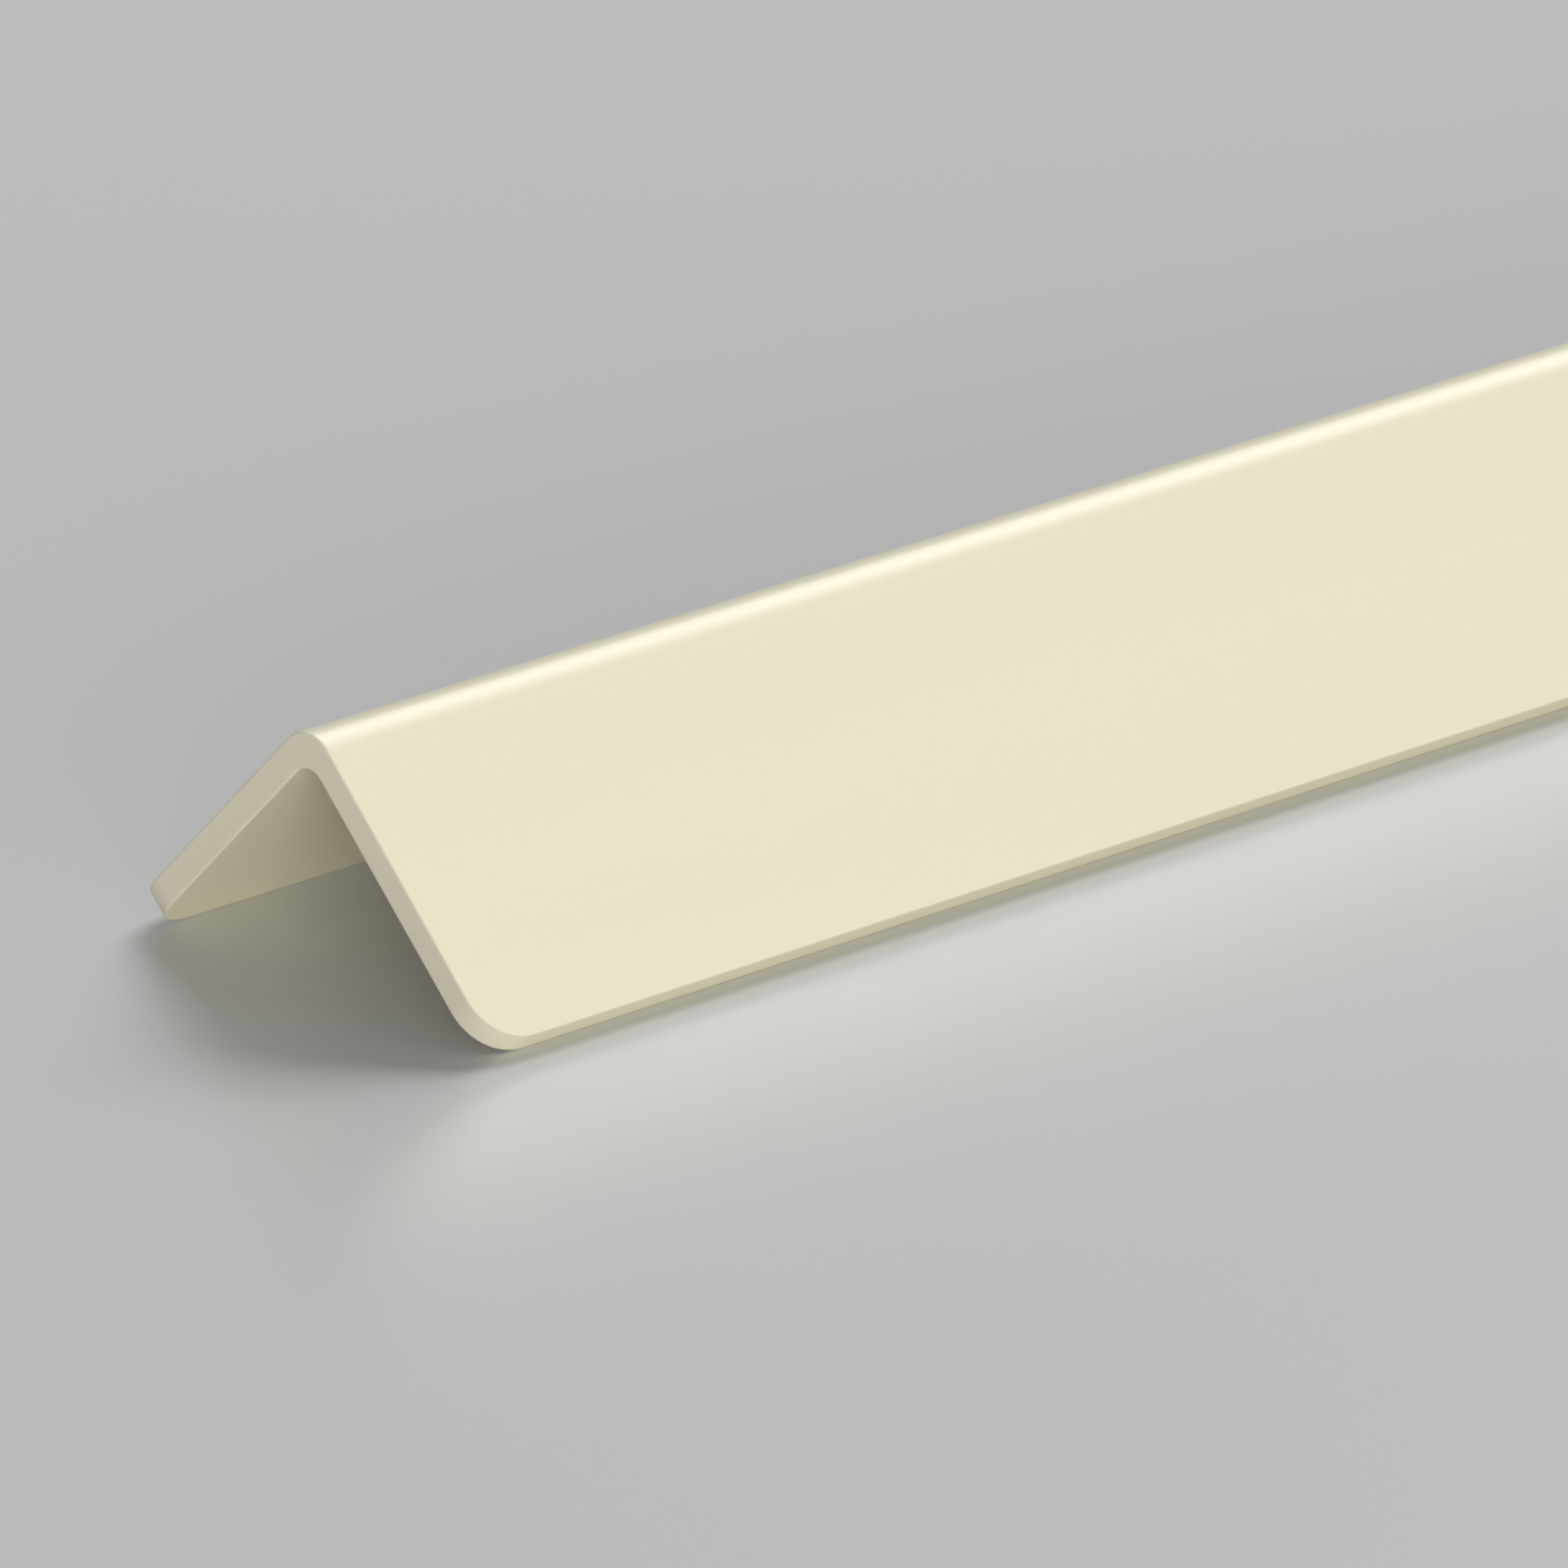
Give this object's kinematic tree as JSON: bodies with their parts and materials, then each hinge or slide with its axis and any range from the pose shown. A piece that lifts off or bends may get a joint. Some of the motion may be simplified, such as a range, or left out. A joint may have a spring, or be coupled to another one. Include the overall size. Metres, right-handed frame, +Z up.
{
  "type": "corner guard",
  "caption": "Rigid plastic angle with a rounded bend and rounded wing ends, glued over an outside wall corner to take knocks.",
  "frame": {"origin": "on the floor, under the middle of the bend, halfway along the length", "axes": "+X along the length, +Y across from one wing to the other, +Z up, from the floor through the bend"},
  "size_m": [1.2, 0.0424, 0.0215],
  "materials": {
    "ivory_pvc": "satin"
  },
  "bodies": {
    "root": {"corner_guard": "ivory_pvc"}
  },
  "joints": []
}
